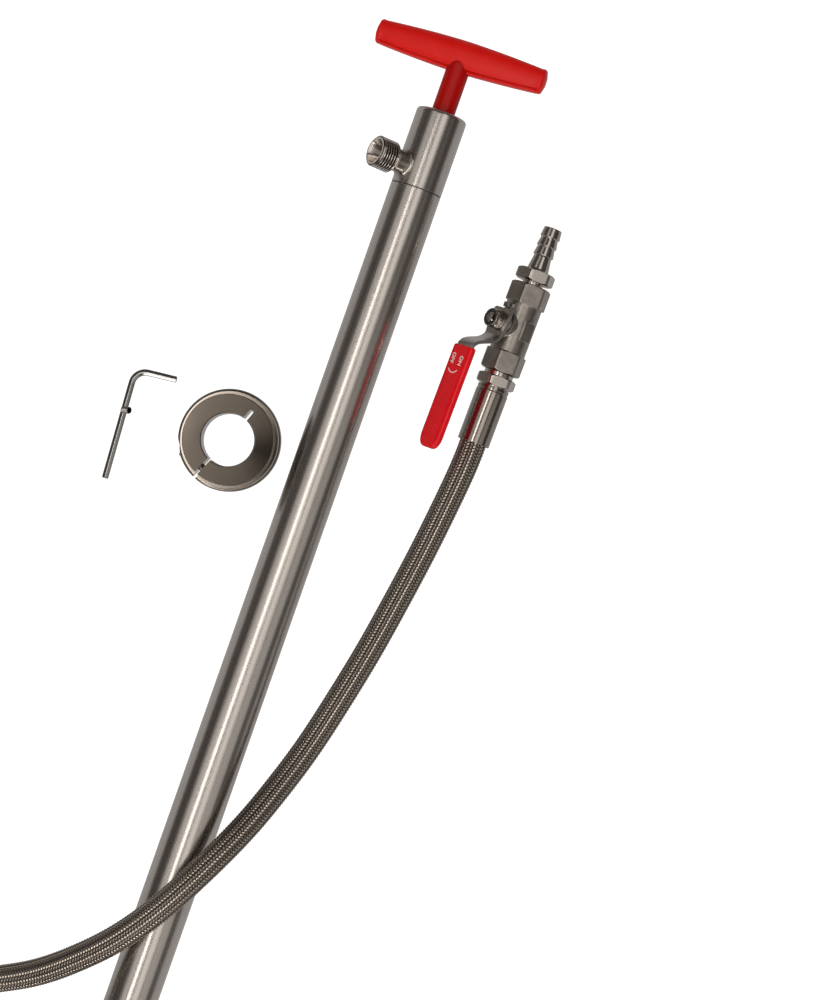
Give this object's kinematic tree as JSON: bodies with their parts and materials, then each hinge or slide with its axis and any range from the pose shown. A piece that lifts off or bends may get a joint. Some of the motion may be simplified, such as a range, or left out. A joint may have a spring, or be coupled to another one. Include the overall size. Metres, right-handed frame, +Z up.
{
  "type": "drum barrel pump",
  "caption": "Hand-operated stainless drum pump with a T handle, shown with its braided discharge hose and ball valve, split clamp collar, hex key and set screw.",
  "frame": {"origin": "centre of the bottom of the laid-out kit's box, without the free hose and its far end", "axes": "+X along the pump from its foot towards its handle, +Z up from the surface the kit lies on"},
  "size_m": [1.0163, 0.3503, 0.0492],
  "materials": {
    "brushed_stainless": "longitudinally brushed stainless steel",
    "bright_stainless": "machined stainless steel",
    "polished_stainless": "turned and polished stainless steel",
    "cast_stainless": "investment cast stainless steel, blasted",
    "braided_hose": "stainless wire braid over a plastic liner",
    "plated_steel": "bright nickel plate",
    "brass": "machined brass",
    "ptfe": "turned PTFE",
    "black_nylon": "black nylon",
    "red_plastic": "satin moulded red plastic",
    "red_vinyl": "glossy dipped red vinyl"
  },
  "bodies": {
    "pump": {"pump_tube": "brushed_stainless", "head_gasket": "ptfe", "pump_head": "brushed_stainless", "outlet_stub": "bright_stainless", "rod_guide": "ptfe", "rod_seal": "ptfe", "gland_nut": "bright_stainless", "foot_valve_body": "bright_stainless", "foot_seat": "ptfe", "foot_ball_pin": "bright_stainless"},
    "piston_rings": {"piston_ring_upper": "ptfe", "piston_ring_lower": "ptfe"},
    "plunger": {"handle": "red_plastic", "handle_insert": "brass", "piston_rod": "bright_stainless", "piston_cage": "bright_stainless", "piston_body": "bright_stainless"},
    "piston_check": {"piston_ball": "bright_stainless"},
    "foot_check": {"foot_ball": "bright_stainless"},
    "hose_assembly": {"valve_body": "cast_stainless", "valve_insert": "bright_stainless", "seat_ring_inlet": "ptfe", "seat_ring_outlet": "ptfe", "stem_packing": "ptfe", "packing_follower": "bright_stainless", "hose_barb": "bright_stainless", "valve_end_nipple": "bright_stainless", "valve_end_ferrule": "polished_stainless", "discharge_hose": "braided_hose", "pump_end_ferrule": "polished_stainless", "pump_end_nipple": "bright_stainless"},
    "valve_lever": {"valve_ball": "polished_stainless", "valve_stem": "bright_stainless", "lever_arm": "brushed_stainless", "lever_grip": "red_vinyl", "lever_washer": "bright_stainless", "lever_nut": "bright_stainless", "nut_lock_ring": "black_nylon"},
    "outlet_union": {"union_nut": "bright_stainless"},
    "collar": {"clamp_collar": "polished_stainless"},
    "collar_clamp": {"clamp_screw": "bright_stainless"},
    "key": {"hex_key": "plated_steel"},
    "spare_screw": {"set_screw": "bright_stainless"}
  },
  "joints": [
    {"name": "plunger_slide", "type": "slide", "parent": "pump", "child": "piston_rings", "axis": [1, 0, 0], "range_m": [0, 0.36]},
    {"name": "plunger_turn", "type": "hinge", "parent": "piston_rings", "child": "plunger", "pos_m": [0.41165, -0.0139, 0.016], "axis": [1, 0, 0], "continuous": true},
    {"name": "piston_ball_lift", "type": "slide", "parent": "plunger", "child": "piston_check", "axis": [1, 0, 0], "range_m": [0, 0.005]},
    {"name": "foot_ball_lift", "type": "slide", "parent": "pump", "child": "foot_check", "axis": [1, 0, 0], "range_m": [0, 0.004]},
    {"name": "hose_lift", "type": "slide", "parent": "pump", "child": "hose_assembly", "axis": [0, 0, 1], "range_m": [0, 0.1]},
    {"name": "valve_lever_turn", "type": "hinge", "parent": "hose_assembly", "child": "valve_lever", "pos_m": [0.35186, -0.10043, 0.013], "axis": [0.0156, 0.7429, 0.6692], "range_deg": [0, 90]},
    {"name": "union_nut_turn", "type": "hinge", "parent": "hose_assembly", "child": "outlet_union", "pos_m": [-0.19833, 0.14894, 0.0124], "axis": [-0.5455, 0.8381, 0], "continuous": true},
    {"name": "collar_lift", "type": "slide", "parent": "pump", "child": "collar", "axis": [0, 0, 1], "range_m": [0, 0.1]},
    {"name": "clamp_screw_turn", "type": "hinge", "parent": "collar", "child": "collar_clamp", "pos_m": [0.20619, 0.05391, 0.0046], "axis": [0.4131, 0.9107, 0], "continuous": true},
    {"name": "key_lift", "type": "slide", "parent": "pump", "child": "key", "axis": [0, 0, 1], "range_m": [0, 0.1]},
    {"name": "set_screw_lift", "type": "slide", "parent": "key", "child": "spare_screw", "axis": [0, 0, 1], "range_m": [0, 0.05]}
  ]
}
